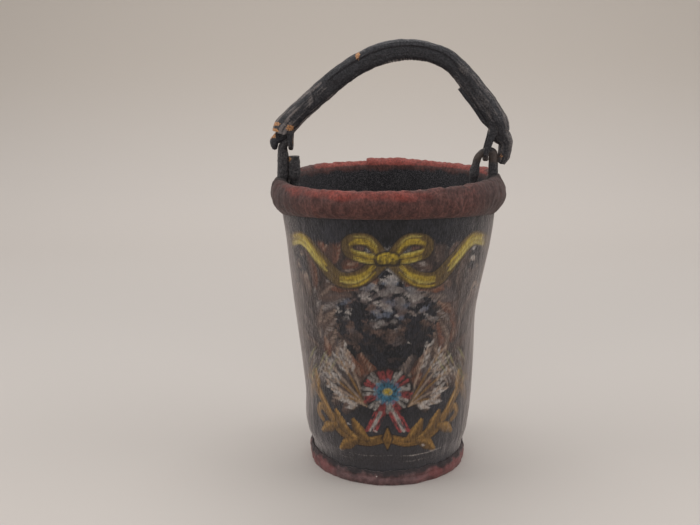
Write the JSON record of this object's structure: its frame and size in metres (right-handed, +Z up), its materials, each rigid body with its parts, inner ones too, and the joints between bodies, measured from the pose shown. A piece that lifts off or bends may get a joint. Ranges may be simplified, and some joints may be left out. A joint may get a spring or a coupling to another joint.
{
  "type": "fire bucket",
  "caption": "Tapered round leather fire bucket with a rolled red rim, a red foot band and a leather bail handle that hangs in leather loops on the rim.",
  "frame": {"origin": "centre of the foot, on the floor", "axes": "+Z up along the bucket's axis, +X to the right seen from the decorated front, -Y to the front, the sewn seam at +Y"},
  "size_m": [0.2383, 0.23, 0.4256],
  "materials": {
    "black_leather": "worn black paint",
    "red_leather": "worn red paint",
    "dull_red_leather": "worn dull red paint",
    "worn_brown_leather": "rubbed dark brown",
    "raw_leather": "undyed",
    "waxed_linen": "waxed thread",
    "iron": "dull"
  },
  "bodies": {
    "bucket": {"body_wall": "black_leather", "seam_thread_left": "waxed_linen", "seam_thread_right": "waxed_linen", "rim_cover": "red_leather", "rim_hoop": "iron", "base_pan": "black_leather", "foot_band": "dull_red_leather", "lug_loop_left": "worn_brown_leather", "lug_stub_left": "worn_brown_leather", "lug_loop_right": "worn_brown_leather", "lug_thread_left": "waxed_linen", "lug_thread_right": "waxed_linen"},
    "handle": {"handle_cover": "black_leather", "handle_core": "raw_leather", "handle_lap": "black_leather", "handle_eye_left": "black_leather", "handle_eye_right": "black_leather"}
  },
  "joints": [
    {"name": "handle_swing", "type": "hinge", "parent": "bucket", "child": "handle", "pos_m": [0.00005, 0, 0.32275], "axis": [0.9982, 0, -0.0603], "range_deg": [-96, 96]}
  ]
}
